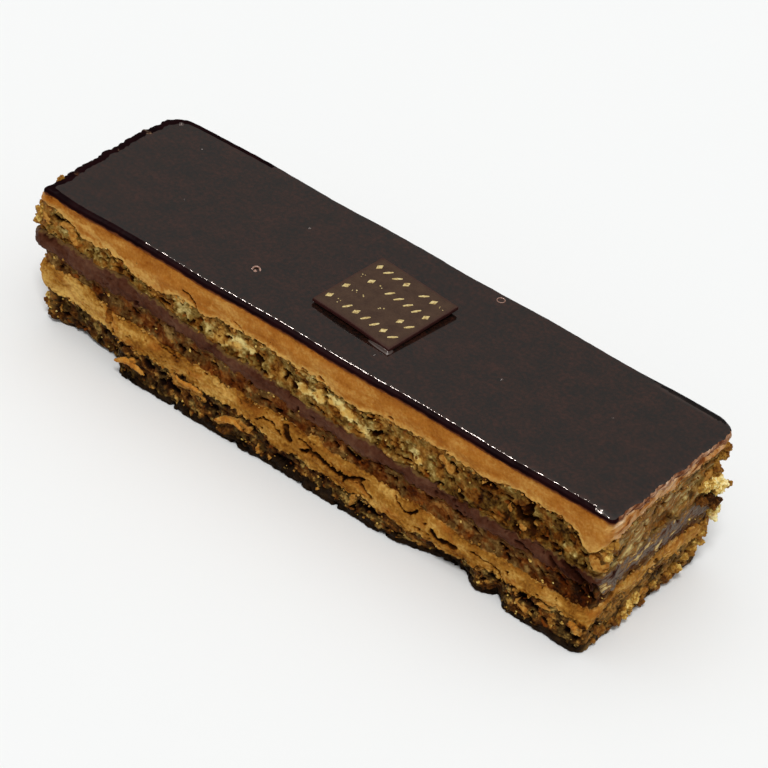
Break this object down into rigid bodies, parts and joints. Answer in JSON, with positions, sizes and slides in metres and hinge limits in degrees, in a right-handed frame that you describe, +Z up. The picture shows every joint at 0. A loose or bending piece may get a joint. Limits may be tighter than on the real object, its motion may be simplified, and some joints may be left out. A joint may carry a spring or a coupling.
{
  "type": "opera cake",
  "caption": "A bar of layered coffee and chocolate cake with a glossy dark glaze and a square chocolate plaque, cut straight and resting on its base.",
  "frame": {"origin": "middle of the cake's box, on the plate it rests on", "axes": "+X along the bar to the cleaner cut end, -Y to the long side with the cleaner cut, +Z up"},
  "size_m": [0.124, 0.0366, 0.0311],
  "materials": {
    "dark_chocolate": "thin brushed-on dark chocolate, dull and crumbed at the edge",
    "soaked_sponge": "almond sponge soaked in coffee syrup, dark, wet and porous",
    "almond_sponge": "almond sponge, moist and porous with paler dry patches",
    "coffee_cream": "smooth coffee buttercream, satin, torn where the knife dragged it",
    "ganache": "set chocolate ganache, smooth and softly shiny",
    "chocolate_glaze": "poured chocolate glaze, mirror smooth with a few bubbles",
    "plaque_chocolate": "tempered chocolate with a satin face and small gold marks",
    "gold_print": "edible gold print, flat and partly worn"
  },
  "bodies": {
    "root": {"chocolate_base": "dark_chocolate", "bottom_sponge": "soaked_sponge", "lower_coffee_cream": "coffee_cream", "middle_sponge": "soaked_sponge", "ganache": "ganache", "top_sponge": "almond_sponge", "upper_coffee_cream": "coffee_cream", "chocolate_glaze": "chocolate_glaze", "chocolate_plaque": "plaque_chocolate"}
  },
  "joints": []
}
